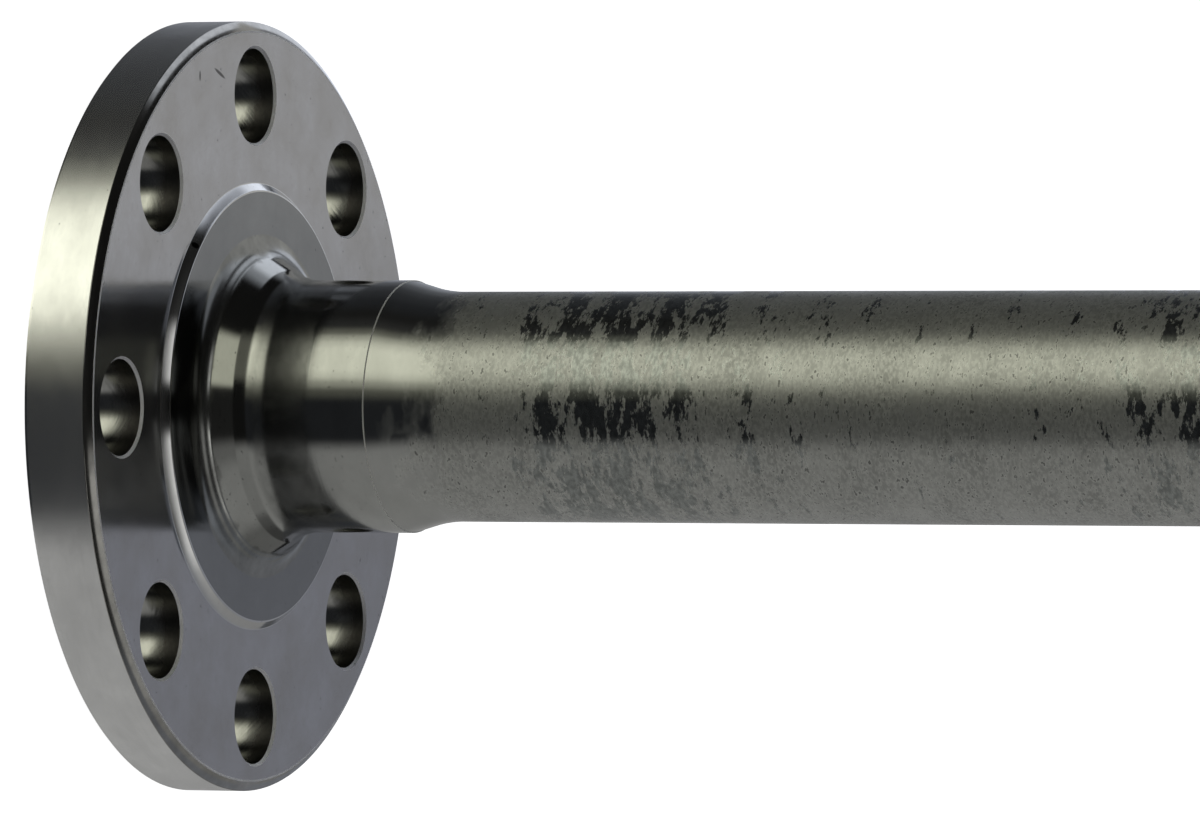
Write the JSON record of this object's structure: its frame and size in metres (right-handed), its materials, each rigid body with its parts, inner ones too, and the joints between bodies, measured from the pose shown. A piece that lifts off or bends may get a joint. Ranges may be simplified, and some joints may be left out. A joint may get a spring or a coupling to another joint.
{
  "type": "axle shaft",
  "caption": "Full-floating axle shaft: a round bolting flange with a raised boss, a ground seal neck, a long plain bar and a splined inner end, forged and turned in one piece.",
  "frame": {"origin": "centre of the outer flange face, on the shaft axis; the shaft stands on that face", "axes": "+Z along the shaft from the flange to the splined inner end; one bolt hole lies toward -X"},
  "size_m": [0.1499, 0.15, 0.8],
  "materials": {
    "forged_steel": "satin-turned flange, ground and polished neck and shoulder, bar as heat-treated with dark scale blotches"
  },
  "bodies": {
    "root": {"axle_shaft": "forged_steel"}
  },
  "joints": []
}
